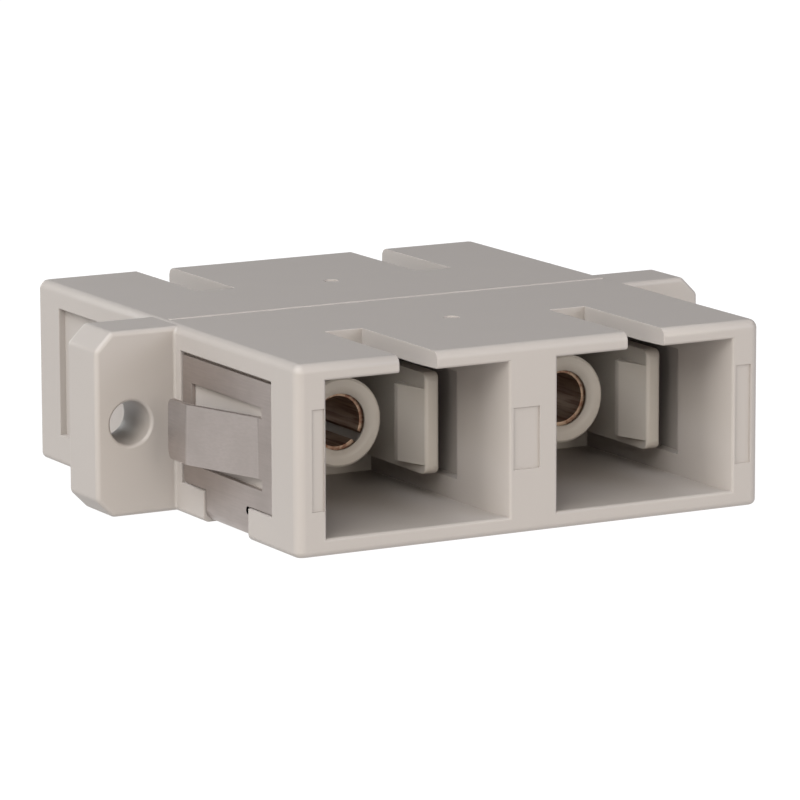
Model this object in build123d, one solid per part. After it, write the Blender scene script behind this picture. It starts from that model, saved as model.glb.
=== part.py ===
from build123d import *
import os

# Body, in millimetres; x runs across the two ports, y from front to back, z up
port_pitch = 12.7
body_width = 25.9
body_height = 9.36
half_length = 14.4
corner_r = 0.5
top_edge_r = 0.45
bottom_edge_r = 0.3
seam_bead_r = 0.2
seam_bead_rise = 0.05

# Flange, shared by the two halves
flange_width = 34.6
flange_height = 9.26
flange_half_thickness = 1.6
ear_chamfer = 0.9
ear_corner_r = 0.35
ear_edge_r = 0.25
ear_root_r = 0.15
screw_spacing = 30.8
screw_hole_d = 2.2
screw_hole_break = 0.12

# Port cavity
mouth_width = 10.0
mouth_height = 7.64
mouth_break = 0.1
cavity_width = 9.1
cavity_height = 7.5
lead_in_depth = 2.2
key_width = 2.05
key_depth = 7.6

# Latch holder
plate_width = 10.2
plate_height = 8.0
plate_thickness = 1.2
barrel_d = 4.5
barrel_reach = 6.55
barrel_break = 0.12
lip_thickness = 0.35
lip_bore_d = 2.84
lip_lead_d = 3.7
lip_lead_depth = 0.2
finger_inner = 3.35
finger_thickness = 0.78
finger_height = 5.1
finger_reach = 9.05
finger_tip_r = 0.5
finger_edge_r = 0.18
finger_root_r = 0.3
hook_crest = 2.8
hook_crest_r = 0.12
hook_height = 3.85
hook_drop = 0.15
hook_start = 0.1
hook_ramp = 1.75
hook_land = 0.35
hook_back = 0.5

# Alignment sleeve
sleeve_bore_d = 2.5
sleeve_d = 3.2
sleeve_slit = 0.5
sleeve_turns = (38, -160)

# Finger pocket in the port walls
pocket_half_width = 5.15
pocket_reach = 10.0

# Panel clip
sheet = 0.25
clip_set_in = 0.1
clip_front = 11.72
clip_rear = 2.2
clip_top = 3.33
clip_bottom = 3.05
clip_corner_r = 0.3
strap_front = 9.25
strap_rear = 4.62
bend_inner_r = 0.3
window_front = 10.58
window_rear = 3.1
window_height = 4.05
tongue_height = 3.0
tongue_root = 10.2
tongue_bend = 5.45
tongue_rise = 1.5
tongue_bend_r = 0.6
lip_end = 3.4
lip_drop = 0.07
lip_corner_r = 0.45
relief_d = 0.35
relief_in = 0.12
relief_drop = 0.2

# Marks of the mould on the front face and on the top
mark_depth = 0.1
centre_mark_x = -0.37
centre_mark_width = 1.46
centre_mark_height = 3.05
side_mark_height = 4.95
left_mark_width = 0.67
left_mark_inset = 0.1
right_mark_width = 0.87
right_mark_inset = 0.2
gate_d = 0.8
gate_depth = 0.08
gate_y = 6.3

# Fits
holder_gap = 0.05
sleeve_gap = 0.05
sleeve_end_gap = 0.1
finger_gap = 0.13
clip_gap = 0.05
clip_top_gap = 0.17
strap_gap = 0.05
corner_gap = 0.05

# Derived places
side_x = body_width / 2
top_z = body_height / 2
port_xs = (-port_pitch / 2, port_pitch / 2)
side_floor_x = side_x - clip_set_in - sheet
base_floor_z = -top_z + clip_set_in + sheet
lip_inner_y = -barrel_reach + lip_thickness


def block(x0, x1, y0, y1, z0, z1):
    box = Box(x1 - x0, y1 - y0, z1 - z0)
    return Pos((x0 + x1) / 2, (y0 + y1) / 2, (z0 + z1) / 2) * box


def bar_y(diameter, y0, y1, x=0.0, z=0.0):
    rod = Rot(90, 0, 0) * Cylinder(diameter / 2, y1 - y0)
    return Pos(x, (y0 + y1) / 2, z) * rod


def cone_y(d0, d1, y0, y1, x=0.0, z=0.0):
    cone = Rot(-90, 0, 0) * Cone(d0 / 2, d1 / 2, y1 - y0)
    return Pos(x, (y0 + y1) / 2, z) * cone


def opening_section(width, height, y):
    plane = Plane(origin=(0, y, 0), x_dir=(1, 0, 0), z_dir=(0, -1, 0))
    return plane * Rectangle(width, height)


def upright(profile, height):
    return extrude(Plane.XY * make_face(profile), amount=height / 2, both=True)


# Outside of one half: the body and its share of the flange
def body_shell():
    body = block(-side_x, side_x, -half_length, 0, -top_z, top_z)
    uprights = body.edges().filter_by(Axis.Z).group_by(Axis.Y)[0]
    body = fillet(uprights, corner_r)
    top_rim = body.faces().sort_by(Axis.Z)[-1].edges().group_by(Axis.Y)[:-1]
    body = fillet([edge for group in top_rim for edge in group], top_edge_r)
    bottom_rim = body.faces().sort_by(Axis.Z)[0].edges().group_by(Axis.Y)[:-1]
    return fillet([edge for group in bottom_rim for edge in group], bottom_edge_r)


def flange_half():
    half_width = flange_width / 2
    half_height = flange_height / 2
    plate = block(-half_width, half_width, -flange_half_thickness, 0, -half_height, half_height)
    plate = chamfer(plate.edges().filter_by(Axis.Y), ear_chamfer)
    plate = fillet(plate.edges().filter_by(Axis.Y), ear_corner_r)
    front = plate.faces().sort_by(Axis.Y)[0]
    return fillet(front.edges(), ear_edge_r)


# Half of the fine bead that the weld squeezes out of the seam along the top
def seam_bead():
    reach = side_x - top_edge_r
    crest = top_z + seam_bead_rise
    bead = Pos(0, 0, crest - seam_bead_r) * Rot(0, 90, 0) * Cylinder(seam_bead_r, 2 * reach)
    return bead & block(-reach, reach, -seam_bead_r, 0, 0, crest)


def screw_hole(x):
    y0 = -flange_half_thickness
    hole = bar_y(screw_hole_d, y0, 0, x)
    rim = cone_y(screw_hole_d + 2 * screw_hole_break, screw_hole_d, y0, y0 + screw_hole_break, x)
    return hole + rim


# Flared way in to a port: the side walls curve outwards, roof and floor slope a little
def lead_in():
    y0 = -half_length + mouth_break
    y1 = -half_length + lead_in_depth
    wide = mouth_width / 2
    narrow = cavity_width / 2
    right = TangentArc((narrow, y1), (wide, y0), tangent=(0, -1))
    left = TangentArc((-narrow, y1), (-wide, y0), tangent=(0, -1))
    outline = [right, left, Line((wide, y0), (-wide, y0)), Line((narrow, y1), (-narrow, y1))]
    flare = upright(outline, mouth_height)
    mouth = opening_section(mouth_width, mouth_height, y0)
    throat = opening_section(mouth_width, cavity_height, y1)
    return flare & loft([mouth, throat], ruled=True)


# One port: lead-in, cavity, finger pockets, seat of the holder and key slot
def port_space():
    front = -half_length
    seat_y = -plate_thickness
    rim = opening_section(mouth_width + 2 * mouth_break, mouth_height + 2 * mouth_break, front)
    mouth = opening_section(mouth_width, mouth_height, front + mouth_break)
    space = loft([rim, mouth], ruled=True) + lead_in()
    half_w = cavity_width / 2
    half_h = cavity_height / 2
    space += block(-half_w, half_w, front + lead_in_depth, seat_y, -half_h, half_h)
    pocket_z = finger_height / 2 + finger_gap
    pocket_x = pocket_half_width
    space += block(-pocket_x, pocket_x, -pocket_reach, seat_y, -pocket_z, pocket_z)
    seat_x = plate_width / 2 + holder_gap
    seat_z = plate_height / 2 + holder_gap
    space += block(-seat_x, seat_x, seat_y, 0, -seat_z, seat_z)
    space += block(-key_width / 2, key_width / 2, front, front + key_depth, 0, top_z)
    return space


# Seat of the panel clip: a recess in each side and a channel under the body
def clip_seat():
    y0 = -clip_front - clip_gap
    y1 = -clip_rear + clip_gap
    z0 = -clip_bottom - clip_gap
    seat = block(side_floor_x, side_x, y0, y1, z0, clip_top + clip_top_gap)
    y0 = -strap_front - strap_gap
    y1 = -strap_rear + strap_gap
    seat += block(side_floor_x, side_x, y0, y1, -top_z, 0)
    seat += mirror(seat, Plane.YZ)
    seat += block(-side_x, side_x, y0, y1, -top_z, base_floor_z)
    corner = block(-side_floor_x, side_floor_x, y0, y1, base_floor_z, 0)
    lower = corner.edges().filter_by(Axis.Y).group_by(Axis.Z)[0]
    rounded = fillet(lower, bend_inner_r + corner_gap)
    return seat + (corner - rounded)


# Shallow marks that the mould leaves on the front face and on the top
def mould_marks():
    front = -half_length
    back = front + mark_depth
    mouth_edge = port_pitch / 2 + mouth_width / 2
    x0 = centre_mark_x - centre_mark_width / 2
    half_h = centre_mark_height / 2
    marks = block(x0, x0 + centre_mark_width, front, back, -half_h, half_h)
    half_h = side_mark_height / 2
    x0 = -mouth_edge - left_mark_inset - left_mark_width
    marks += block(x0, x0 + left_mark_width, front, back, -half_h, half_h)
    x0 = mouth_edge + right_mark_inset
    marks += block(x0, x0 + right_mark_width, front, back, -half_h, half_h)
    gate = Pos(0, -gate_y, top_z - gate_depth / 2) * Cylinder(gate_d / 2, gate_depth)
    return marks + gate


def housing():
    shell = body_shell() + flange_half()
    roots = shell.edges().filter_by(Axis.Z)
    roots = roots.filter_by(lambda e: abs(abs(e.center().X) - side_x) < 0.01)
    roots = roots.filter_by(lambda e: abs(e.center().Y + flange_half_thickness) < 0.01)
    shell = fillet(roots, ear_root_r) + seam_bead()
    space = port_space()
    for x in port_xs:
        shell -= Pos(x, 0, 0) * space
    for x in (-screw_spacing / 2, screw_spacing / 2):
        shell -= screw_hole(x)
    shell -= clip_seat()
    shell -= mould_marks()
    return shell


# Inner moulding: base plate, sleeve barrel and two hooked latch fingers
def barrel():
    rod = bar_y(barrel_d, -barrel_reach, -plate_thickness)
    rim = rod.faces().sort_by(Axis.Y)[0].edges()
    return chamfer(rim, barrel_break)


# Spring leaf with rounded tip corners; the hook on it ramps up to a crest and drops back
def finger():
    outer = finger_inner + finger_thickness
    half_h = finger_height / 2
    tip_y = -finger_reach
    leaf = block(finger_inner, outer, tip_y, 0, -half_h, half_h)
    plan = fillet(leaf.edges().filter_by(Axis.Z).group_by(Axis.Y)[0], finger_edge_r)
    elevation = fillet(leaf.edges().filter_by(Axis.X).group_by(Axis.Y)[0], finger_tip_r)
    leaf = plan & elevation & block(finger_inner, outer, tip_y, -plate_thickness, -half_h, half_h)
    ramp_y = tip_y + hook_start
    crest_y = ramp_y + hook_ramp
    back_y = crest_y + hook_land + hook_back
    inside = finger_inner + finger_thickness / 2
    crest = [(hook_crest, crest_y), (hook_crest, crest_y + hook_land)]
    base = [(finger_inner, back_y), (inside, back_y), (inside, ramp_y), (finger_inner, ramp_y)]
    hook = upright(Polyline(crest + base, close=True), hook_height)
    hook = fillet(hook.edges().filter_by(Axis.Z).group_by(Axis.X)[0], hook_crest_r)
    return leaf + Pos(0, 0, -hook_drop) * hook


def latch_holder():
    half_w = plate_width / 2
    half_h = plate_height / 2
    body = block(-half_w, half_w, -plate_thickness, 0, -half_h, half_h)
    body += barrel()
    right = finger()
    body += right
    body += mirror(right, Plane.YZ)
    roots = body.edges().filter_by(Axis.Z)
    roots = roots.filter_by(lambda e: abs(e.center().Y + plate_thickness) < 0.01)
    roots = roots.filter_by(lambda e: abs(e.center().X) < half_w - finger_root_r)
    body = fillet(roots, finger_root_r)
    body -= bar_y(sleeve_d + 2 * sleeve_gap, lip_inner_y, 0)
    body -= bar_y(lip_bore_d, -barrel_reach, lip_inner_y)
    body -= cone_y(lip_lead_d, lip_bore_d, -barrel_reach, -barrel_reach + lip_lead_depth)
    return body


# Split sleeve that lines up the two ferrules of a channel
def alignment_sleeve(turn):
    end = -lip_inner_y - sleeve_end_gap
    tube = bar_y(sleeve_d, -end, end) - bar_y(sleeve_bore_d, -end, end)
    slit = block(0, sleeve_d, -end, end, -sleeve_slit / 2, sleeve_slit / 2)
    return Rot(0, turn, 0) * (tube - slit)


# Folded clip: web under the body, a side plate with window, tongue and strap at each side
def clip_strap():
    inner_x = side_floor_x
    outer_x = inner_x + sheet
    outer_z = base_floor_z - sheet
    y0 = -strap_front
    y1 = -strap_rear
    outer = block(-outer_x, outer_x, y0, y1, outer_z, 0)
    inner = block(-inner_x, inner_x, y0, y1, base_floor_z, 0)
    outer = fillet(outer.edges().filter_by(Axis.Y).group_by(Axis.Z)[0], bend_inner_r + sheet)
    inner = fillet(inner.edges().filter_by(Axis.Y).group_by(Axis.Z)[0], bend_inner_r)
    strap = outer - inner
    return strap - block(-outer_x, outer_x, y0, y1, -clip_bottom, 0)


def tongue():
    base = side_floor_x
    bend = (base + tongue_rise, -tongue_bend)
    tip = (base + tongue_rise - lip_drop, -lip_end)
    root = (base, -tongue_root)
    start = (base, -(tongue_root + window_front) / 2)
    line = FilletPolyline(start, root, bend, tip, radius=tongue_bend_r)
    leaf = upright(offset(line, amount=sheet, side=Side.RIGHT), tongue_height)
    leaf += block(base, base + sheet, -window_front, start[1], -tongue_height / 2, tongue_height / 2)
    lip_corners = leaf.edges().filter_by(Axis.X, tolerance=8).group_by(Axis.Y)[-1]
    return fillet(lip_corners, lip_corner_r)


def side_plate():
    x0 = side_floor_x
    x1 = x0 + sheet
    plate = block(x0, x1, -clip_front, -clip_rear, -clip_bottom, clip_top)
    rear_edges = plate.edges().filter_by(Axis.X).group_by(Axis.Y)[-1]
    plate = fillet(rear_edges.sort_by(Axis.Z)[0], clip_corner_r)
    half_window = window_height / 2
    plate -= block(x0, x1, -window_front, -window_rear, -half_window, half_window)
    return plate + tongue()


def panel_clip():
    right = side_plate()
    clip = clip_strap() + right + mirror(right, Plane.YZ)
    relief = Rot(0, 90, 0) * Cylinder(relief_d / 2, body_width)
    return clip - Pos(0, -strap_front + relief_in, -clip_bottom - relief_drop) * relief


def place(shape, x, turned):
    angle = 180 if turned else 0
    return Pos(x, 0, 0) * Rot(0, 0, angle) * shape


os.makedirs("parts", exist_ok=True)

half = housing()
export_step(half, "parts/front_housing.step")
export_step(place(half, 0, True), "parts/rear_housing.step")

holder = latch_holder()
for side, x, turn in zip(("left", "right"), port_xs, sleeve_turns):
    export_step(place(holder, x, False), f"parts/front_{side}_latch_holder.step")
    export_step(place(holder, x, True), f"parts/rear_{side}_latch_holder.step")
    export_step(place(alignment_sleeve(turn), x, False), f"parts/{side}_alignment_sleeve.step")

export_step(panel_clip(), "parts/panel_clip.step")
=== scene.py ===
from math import cos, radians, sin

import bmesh
import bpy
from mathutils import Matrix, Vector


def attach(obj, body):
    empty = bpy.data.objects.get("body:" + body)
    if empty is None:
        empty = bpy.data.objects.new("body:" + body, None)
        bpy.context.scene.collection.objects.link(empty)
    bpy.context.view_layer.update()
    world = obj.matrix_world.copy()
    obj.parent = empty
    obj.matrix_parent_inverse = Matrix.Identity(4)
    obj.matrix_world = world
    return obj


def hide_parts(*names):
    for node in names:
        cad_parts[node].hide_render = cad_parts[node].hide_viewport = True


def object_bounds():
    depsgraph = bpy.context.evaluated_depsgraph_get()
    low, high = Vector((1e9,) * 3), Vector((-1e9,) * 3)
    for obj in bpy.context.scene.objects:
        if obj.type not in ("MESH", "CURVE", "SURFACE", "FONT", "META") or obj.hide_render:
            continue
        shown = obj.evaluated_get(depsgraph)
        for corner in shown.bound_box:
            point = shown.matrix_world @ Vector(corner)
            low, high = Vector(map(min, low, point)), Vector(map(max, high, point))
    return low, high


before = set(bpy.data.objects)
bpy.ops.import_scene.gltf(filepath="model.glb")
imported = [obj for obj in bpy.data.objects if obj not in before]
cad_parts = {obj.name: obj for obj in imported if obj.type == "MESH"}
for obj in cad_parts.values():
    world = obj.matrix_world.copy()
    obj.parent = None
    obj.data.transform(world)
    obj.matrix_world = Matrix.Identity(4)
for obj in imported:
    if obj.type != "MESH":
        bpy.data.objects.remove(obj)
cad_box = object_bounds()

# Metres in a millimetre
MM = 0.001

# Camera: the photograph's viewpoint in the adapter's frame, in millimetres, and its clip limits in metres
CAMERA_AT = Vector((-128.746, -235.074, 50.354))
CAMERA_FORWARD = Vector((0.47347, 0.86083, -0.18656))
CAMERA_RIGHT = Vector((0.87594, -0.48241, -0.00289))
CAMERA_LENS = 242.05
CAMERA_SENSOR = 36.0
CAMERA_NEAREST = 0.01
CAMERA_FARTHEST = 20.0

# Studio, in metres and watts: each softbox has a name, its degrees to the left of the front and upwards,
# its width and height, its power and its tint
SOFTBOX_DISTANCE = 0.75
NEUTRAL = (0.99, 1.0, 0.97)
WARM = (1.0, 0.94, 0.86)
COOL = (0.80, 0.87, 1.0)
SOFTBOXES = (
    ("large_left_softbox", 62, 40, 0.85, 0.45, 7.3, NEUTRAL),
    ("high_left_softbox", 100, 60, 0.35, 0.35, 2.7, COOL),
    ("low_left_fill", 60, 4, 0.30, 0.20, 1.2, WARM),
    ("front_fill", -6, 12, 0.40, 0.30, 2.4, WARM),
    ("right_fill", -48, 20, 0.35, 0.30, 1.9, COOL),
    ("back_fill", -176, 5, 0.40, 0.20, 2.0, NEUTRAL),
)

# Floor: its gap below the adapter in millimetres, its reach each way in metres, and its glow as the
# camera and the adapter see it
FLOOR_GAP = 0.02
FLOOR_REACH = 4.0
FLOOR_SEEN = 0.99
FLOOR_BOUNCE = 0.77
FLOOR_GREY = (0.08, 0.08, 0.08)
FLOOR_ROUGHNESS = 0.9

# Edge rounding that the moulds and the press leave, in millimetres
MOULDED_EDGE = 0.05
SHEARED_EDGE = 0.03
DRAWN_EDGE = 0.05
SHALLOW_EDGE = 0.02
EDGE_SEGMENTS = 2
EDGE_PROFILE = 0.5

# Measures for the edges, in millimetres: a wall below SHALLOW_WALL belongs to a shallow mark
SHALLOW_WALL = 0.12
MERGE_DISTANCE = 0.0002
PLANE_TOLERANCE = 0.001

# Angles between faces, in degrees: joined below FLAT_ANGLE, shaded smooth below SMOOTH_ANGLE,
# and eased above EASED_ANGLE
FLAT_ANGLE = 0.3
SMOOTH_ANGLE = 32
EASED_ANGLE = 35

# How far the large faces lead the shading, where 50 is neutral
NORMAL_WEIGHT = 90

# Plastic finishes: linear colours, with the factor that darkens the patches
HOUSING_GREY = (0.372, 0.335, 0.310)
HOUSING_PATCH = 0.94
HOUSING_ROUGHNESS = 0.42
HOLDER_GREY = (0.441, 0.40, 0.357)
HOLDER_PATCH = 0.93
HOLDER_ROUGHNESS = 0.4
PLASTIC_SPECULAR = 0.42

# Metal finishes: linear colours of the ground, the stains and the drawn lines
STEEL_GREY = (0.50, 0.445, 0.42)
STEEL_STAIN = (0.44, 0.39, 0.365)
STEEL_LINE = (0.42, 0.37, 0.345)
STEEL_LINE_STRENGTH = 0.3
STEEL_ROUGHNESS = 0.38
BRONZE = (0.49, 0.37, 0.275)
BRONZE_STAIN = (0.37, 0.26, 0.19)
BRONZE_LINE = (0.22, 0.105, 0.07)
BRONZE_LINE_STRENGTH = 0.8
BRONZE_ROUGHNESS = 0.58

# Surface relief as strength and depth in millimetres
PLASTIC_RELIEF = (0.12, 0.02)
METAL_RELIEF = (0.25, 0.01)

# Textures: noise cells to the metre, octaves of the noise, and the share of the cells along a line
MOULD_PATCHES = 120.0
MOULD_GRAIN = 9000.0
ROLLED_LINES = 11000.0
DRAWN_LINES = 4200.0
STAIN_PATCHES = 420.0
PATCH_OCTAVES = 3.0
GRAIN_OCTAVES = 2.0
LINE_OCTAVES = 3.0
STAIN_OCTAVES = 4.0
LINE_STRETCH = 0.06

# Noise values between which a stain or a line goes from unseen to full
STAIN_RANGE = (0.35, 0.7)
LINE_RANGE = (0.42, 0.60)

# Roughness that the noise adds at most
PLASTIC_SPREAD = 0.08
METAL_SPREAD = 0.12

# What a group puts out, and the colour of an input that each material sets
GROUP_OUTPUTS = (
    ("Colour", "NodeSocketColor"),
    ("Roughness", "NodeSocketFloat"),
    ("Height", "NodeSocketFloat"),
)
UNSET_COLOUR = (0.5, 0.5, 0.5, 1.0)


# Small helpers for materials and their groups of nodes
def new_material(name):
    material = bpy.data.materials.new(name)
    material.use_nodes = True
    return material, material.node_tree.nodes, material.node_tree.links


def add_node(nodes, kind, **settings):
    node = nodes.new(kind)
    for key, value in settings.items():
        setattr(node, key, value)
    return node


def group_with(name, inputs):
    tree = bpy.data.node_groups.new(name, "ShaderNodeTree")
    for label, kind, value in inputs:
        socket = tree.interface.new_socket(label, in_out="INPUT", socket_type=kind)
        socket.default_value = value
    for label, kind in GROUP_OUTPUTS:
        tree.interface.new_socket(label, in_out="OUTPUT", socket_type=kind)
    entry = tree.nodes.new("NodeGroupInput")
    leave = tree.nodes.new("NodeGroupOutput")
    return tree, entry, leave


def add_noise(tree, octaves, vector):
    noise = tree.nodes.new("ShaderNodeTexNoise")
    noise.inputs["Detail"].default_value = octaves
    tree.links.new(vector, noise.inputs["Vector"])
    return noise


# Colour that goes from the first to the second as the factor rises
def add_blend(tree, factor, first, second):
    blend = add_node(tree.nodes, "ShaderNodeMix", data_type="RGBA")
    tree.links.new(factor, blend.inputs["Factor"])
    tree.links.new(first, blend.inputs["A"])
    tree.links.new(second, blend.inputs["B"])
    return blend.outputs["Result"]


# Noise value stretched so that a range of it fills zero to one
def add_stretch(tree, value, limits):
    stretch = tree.nodes.new("ShaderNodeMapRange")
    stretch.inputs["From Min"].default_value = limits[0]
    stretch.inputs["From Max"].default_value = limits[1]
    tree.links.new(value, stretch.inputs["Value"])
    return stretch


# Roughness with a share of the noise added, sent out of the group
def spread_roughness(tree, entry, leave, noise):
    spread = add_node(tree.nodes, "ShaderNodeMath", operation="MULTIPLY_ADD")
    tree.links.new(noise, spread.inputs[0])
    tree.links.new(entry.outputs["Roughness spread"], spread.inputs[1])
    tree.links.new(entry.outputs["Roughness"], spread.inputs[2])
    tree.links.new(spread.outputs[0], leave.inputs["Roughness"])


# Fine surface of a spark-eroded mould, with slow changes of tone across the moulding
def make_mould_skin():
    tree, entry, leave = group_with(
        "mould_skin",
        [("Colour", "NodeSocketColor", UNSET_COLOUR),
         ("Tint", "NodeSocketColor", UNSET_COLOUR),
         ("Patch density", "NodeSocketFloat", MOULD_PATCHES),
         ("Grain density", "NodeSocketFloat", MOULD_GRAIN),
         ("Roughness", "NodeSocketFloat", HOUSING_ROUGHNESS),
         ("Roughness spread", "NodeSocketFloat", PLASTIC_SPREAD)])
    place = tree.nodes.new("ShaderNodeTexCoord")
    patches = add_noise(tree, PATCH_OCTAVES, place.outputs["Object"])
    grain = add_noise(tree, GRAIN_OCTAVES, place.outputs["Object"])
    tree.links.new(entry.outputs["Patch density"], patches.inputs["Scale"])
    tree.links.new(entry.outputs["Grain density"], grain.inputs["Scale"])
    colour = add_blend(tree, patches.outputs["Fac"], entry.outputs["Colour"], entry.outputs["Tint"])
    tree.links.new(colour, leave.inputs["Colour"])
    spread_roughness(tree, entry, leave, patches.outputs["Fac"])
    tree.links.new(grain.outputs["Fac"], leave.inputs["Height"])
    return tree


# Rolled or drawn metal: lines along the y axis in a tone of their own, over broad faint stains
def make_drawn_metal():
    tree, entry, leave = group_with(
        "drawn_metal",
        [("Colour", "NodeSocketColor", UNSET_COLOUR),
         ("Stain", "NodeSocketColor", UNSET_COLOUR),
         ("Line colour", "NodeSocketColor", UNSET_COLOUR),
         ("Line density", "NodeSocketFloat", ROLLED_LINES),
         ("Line strength", "NodeSocketFloat", STEEL_LINE_STRENGTH),
         ("Roughness", "NodeSocketFloat", STEEL_ROUGHNESS),
         ("Roughness spread", "NodeSocketFloat", METAL_SPREAD)])
    place = tree.nodes.new("ShaderNodeTexCoord")
    along = tree.nodes.new("ShaderNodeMapping")
    along.inputs["Scale"].default_value = (1.0, LINE_STRETCH, 1.0)
    tree.links.new(place.outputs["Object"], along.inputs["Vector"])
    lines = add_noise(tree, LINE_OCTAVES, along.outputs["Vector"])
    tree.links.new(entry.outputs["Line density"], lines.inputs["Scale"])
    stains = add_noise(tree, STAIN_OCTAVES, place.outputs["Object"])
    stains.inputs["Scale"].default_value = STAIN_PATCHES
    stained = add_stretch(tree, stains.outputs["Fac"], STAIN_RANGE)
    ground = add_blend(tree, stained.outputs["Result"], entry.outputs["Colour"], entry.outputs["Stain"])
    lined = add_stretch(tree, lines.outputs["Fac"], LINE_RANGE)
    tree.links.new(entry.outputs["Line strength"], lined.inputs["To Max"])
    colour = add_blend(tree, lined.outputs["Result"], ground, entry.outputs["Line colour"])
    tree.links.new(colour, leave.inputs["Colour"])
    spread_roughness(tree, entry, leave, lines.outputs["Fac"])
    tree.links.new(lines.outputs["Fac"], leave.inputs["Height"])
    return tree


# Material whose colour, roughness and relief come from a group with these settings
def material_from(name, tree, settings, relief):
    material, nodes, links = new_material(name)
    shader = nodes["Principled BSDF"]
    group = add_node(nodes, "ShaderNodeGroup", node_tree=tree)
    for label, value in settings.items():
        group.inputs[label].default_value = value
    links.new(group.outputs["Colour"], shader.inputs["Base Color"])
    links.new(group.outputs["Roughness"], shader.inputs["Roughness"])
    strength, depth = relief
    bump = nodes.new("ShaderNodeBump")
    bump.inputs["Strength"].default_value = strength
    bump.inputs["Distance"].default_value = depth * MM
    links.new(group.outputs["Height"], bump.inputs["Height"])
    links.new(bump.outputs["Normal"], shader.inputs["Normal"])
    return material, shader


def plastic(name, skin, colour, patch, roughness):
    tint = tuple(channel * patch for channel in colour)
    settings = {"Colour": (*colour, 1.0), "Tint": (*tint, 1.0), "Roughness": roughness}
    material, shader = material_from(name, skin, settings, PLASTIC_RELIEF)
    shader.inputs["Specular IOR Level"].default_value = PLASTIC_SPECULAR
    return material


def metal(name, drawn, colour, stain, line, density, strength, roughness):
    settings = {
        "Colour": (*colour, 1.0),
        "Stain": (*stain, 1.0),
        "Line colour": (*line, 1.0),
        "Line density": density,
        "Line strength": strength,
        "Roughness": roughness,
    }
    material, shader = material_from(name, drawn, settings, METAL_RELIEF)
    shader.inputs["Metallic"].default_value = 1.0
    return material


# Outer edges that a mould or a press rounds; those in the plane of the weld stay sharp
def is_outer_edge(edge):
    on_weld_plane = all(abs(vert.co.y) < PLANE_TOLERANCE * MM for vert in edge.verts)
    return edge.is_convex and edge.calc_face_angle(0.0) > radians(EASED_ANGLE) and not on_weld_plane


# Rim of a mark that is only a fraction of a millimetre deep
def is_shallow_rim(edge):
    wall = min(face.calc_area() for face in edge.link_faces) / edge.calc_length()
    return wall < SHALLOW_WALL * MM


def ease_edges(work, edges, ease):
    bmesh.ops.bevel(
        work, geom=edges, offset=ease * MM, offset_type="OFFSET", segments=EDGE_SEGMENTS,
        profile=EDGE_PROFILE, affect="EDGES", clamp_overlap=False, material=-1, loop_slide=True)


# Smallest and largest coordinates of a mesh; easing never takes a piece outside them
def box_of(work):
    corners = list(zip(*(vert.co for vert in work.verts)))
    return [min(axis) for axis in corners], [max(axis) for axis in corners]


def keep_inside(work, low, high):
    for vert in work.verts:
        vert.co = [min(max(value, least), most) for value, least, most in zip(vert.co, low, high)]


def add_object(name, data):
    placed = bpy.data.objects.new(name, data)
    bpy.context.scene.collection.objects.link(placed)
    return placed


# Finished piece for a CAD node: its mesh merged, its flat areas joined and its sharp edges eased
def finish_node(node, piece_name, ease, material):
    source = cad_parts[node].data
    work = bmesh.new()
    work.from_mesh(source)
    bmesh.ops.remove_doubles(work, verts=work.verts, dist=MERGE_DISTANCE * MM)
    bmesh.ops.dissolve_limit(
        work, angle_limit=radians(FLAT_ANGLE), use_dissolve_boundaries=False,
        verts=work.verts, edges=work.edges)
    low, high = box_of(work)
    ease_edges(work, [e for e in work.edges if is_outer_edge(e) and is_shallow_rim(e)], SHALLOW_EDGE)
    ease_edges(work, [e for e in work.edges if is_outer_edge(e) and not is_shallow_rim(e)], ease)
    keep_inside(work, low, high)
    for face in work.faces:
        face.smooth = True
    for edge in work.edges:
        edge.smooth = edge.calc_face_angle(0.0) < radians(SMOOTH_ANGLE)
    mesh = bpy.data.meshes.new(piece_name)
    work.to_mesh(mesh)
    work.free()
    mesh.materials.append(material)
    piece = add_object(piece_name, mesh)
    weighted = piece.modifiers.new("flat_faces_shade_flat", "WEIGHTED_NORMAL")
    weighted.keep_sharp = True
    weighted.weight = NORMAL_WEIGHT
    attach(piece, "root")
    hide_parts(node)


# Glowing floor material, opaque from above and clear from below
def make_floor_material():
    material, nodes, links = new_material("floor_white")
    shader = nodes["Principled BSDF"]
    shader.inputs["Base Color"].default_value = (*FLOOR_GREY, 1.0)
    shader.inputs["Roughness"].default_value = FLOOR_ROUGHNESS
    shader.inputs["Specular IOR Level"].default_value = 0.0
    shader.inputs["Emission Color"].default_value = (1.0, 1.0, 1.0, 1.0)
    rays = nodes.new("ShaderNodeLightPath")
    glow = nodes.new("ShaderNodeMapRange")
    glow.inputs["To Min"].default_value = FLOOR_BOUNCE
    glow.inputs["To Max"].default_value = FLOOR_SEEN
    links.new(rays.outputs["Is Camera Ray"], glow.inputs["Value"])
    links.new(glow.outputs["Result"], shader.inputs["Emission Strength"])
    geometry = nodes.new("ShaderNodeNewGeometry")
    opaque = add_node(nodes, "ShaderNodeMath", operation="SUBTRACT")
    opaque.inputs[0].default_value = 1.0
    links.new(geometry.outputs["Backfacing"], opaque.inputs[1])
    links.new(opaque.outputs[0], shader.inputs["Alpha"])
    material.cycles.emission_sampling = "NONE"
    return material


# Pale floor just under the adapter
def build_floor(floor_z):
    mesh = bpy.data.meshes.new("studio_floor")
    work = bmesh.new()
    bmesh.ops.create_grid(work, x_segments=1, y_segments=1, size=FLOOR_REACH)
    bmesh.ops.translate(work, verts=work.verts, vec=(0, 0, floor_z))
    work.to_mesh(mesh)
    work.free()
    mesh.materials.append(make_floor_material())
    floor = add_object("studio_floor", mesh)


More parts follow.
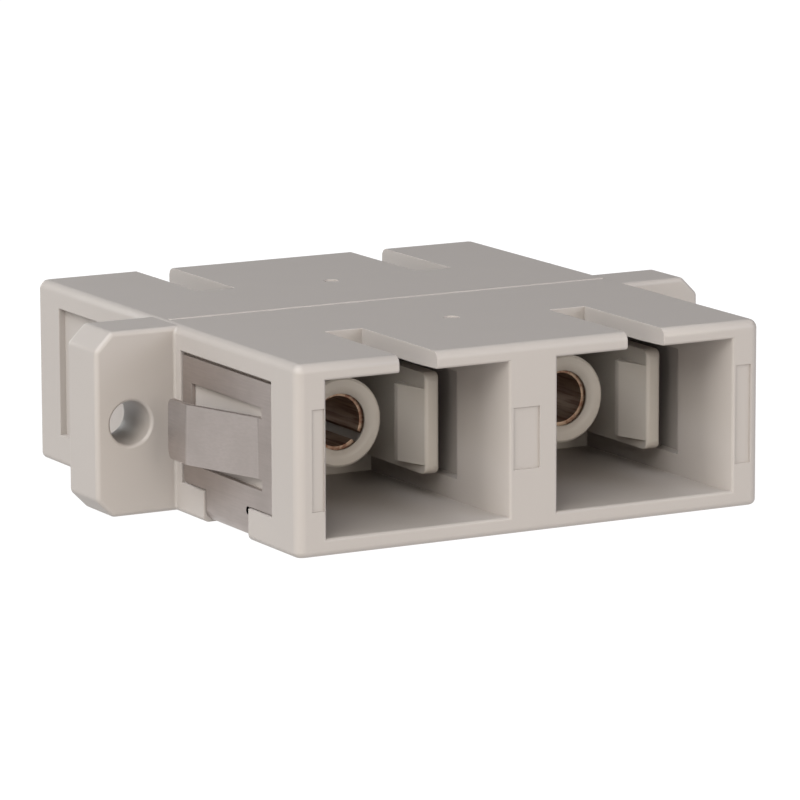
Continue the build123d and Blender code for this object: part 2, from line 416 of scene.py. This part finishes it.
# Softbox that stands on a sphere round the adapter and faces its middle
def add_softbox(name, left_turn, rise, width, height, power, tint):
    data = bpy.data.lights.new(name, "AREA")
    data.shape = "RECTANGLE"
    data.size = width
    data.size_y = height
    data.energy = power
    data.color = tint
    turn = radians(left_turn)
    level = cos(radians(rise))
    towards = Vector((-sin(turn) * level, -cos(turn) * level, sin(radians(rise))))
    softbox = add_object(name, data)
    softbox.location = towards * SOFTBOX_DISTANCE
    softbox.rotation_euler = towards.to_track_quat("Z", "Y").to_euler()


# White backdrop that only the camera sees, and the softboxes
def build_studio():
    world = bpy.data.worlds.new("studio")
    bpy.context.scene.world = world
    world.use_nodes = True
    nodes, links = world.node_tree.nodes, world.node_tree.links
    rays = nodes.new("ShaderNodeLightPath")
    seen = add_node(nodes, "ShaderNodeMath", operation="MULTIPLY")
    seen.inputs[1].default_value = FLOOR_SEEN
    links.new(rays.outputs["Is Camera Ray"], seen.inputs[0])
    nodes["Background"].inputs["Color"].default_value = (1.0, 1.0, 1.0, 1.0)
    links.new(seen.outputs[0], nodes["Background"].inputs["Strength"])
    for settings in SOFTBOXES:
        add_softbox(*settings)


def build_camera():
    data = bpy.data.cameras.new("photo_camera")
    data.lens = CAMERA_LENS
    data.sensor_width = CAMERA_SENSOR
    data.clip_start = CAMERA_NEAREST
    data.clip_end = CAMERA_FARTHEST
    camera = add_object("photo_camera", data)
    forward = CAMERA_FORWARD.normalized()
    right = CAMERA_RIGHT.normalized()
    up = right.cross(forward)
    turn = Matrix((right, up, -forward)).transposed().to_4x4()
    camera.matrix_world = Matrix.Translation(CAMERA_AT * MM) @ turn
    bpy.context.scene.camera = camera


build_camera()
build_floor(cad_box[0][2] - FLOOR_GAP * MM)
build_studio()
bpy.context.scene.view_settings.view_transform = "Standard"

skin = make_mould_skin()
housing_plastic = plastic("housing_plastic", skin, HOUSING_GREY, HOUSING_PATCH, HOUSING_ROUGHNESS)
holder_plastic = plastic("holder_plastic", skin, HOLDER_GREY, HOLDER_PATCH, HOLDER_ROUGHNESS)
drawn = make_drawn_metal()
steel = metal("clip_steel", drawn, STEEL_GREY, STEEL_STAIN, STEEL_LINE,
              ROLLED_LINES, STEEL_LINE_STRENGTH, STEEL_ROUGHNESS)
bronze = metal("sleeve_bronze", drawn, BRONZE, BRONZE_STAIN, BRONZE_LINE,
               DRAWN_LINES, BRONZE_LINE_STRENGTH, BRONZE_ROUGHNESS)

for end in ("front", "rear"):
    finish_node(f"{end}_housing", f"{end}_housing_moulding",
                MOULDED_EDGE, housing_plastic)
    for side in ("left", "right"):
        finish_node(f"{end}_{side}_latch_holder", f"{end}_{side}_holder_moulding",
                    MOULDED_EDGE, holder_plastic)
for side in ("left", "right"):
    finish_node(f"{side}_alignment_sleeve", f"{side}_split_sleeve", DRAWN_EDGE, bronze)
finish_node("panel_clip", "folded_panel_clip", SHEARED_EDGE, steel)
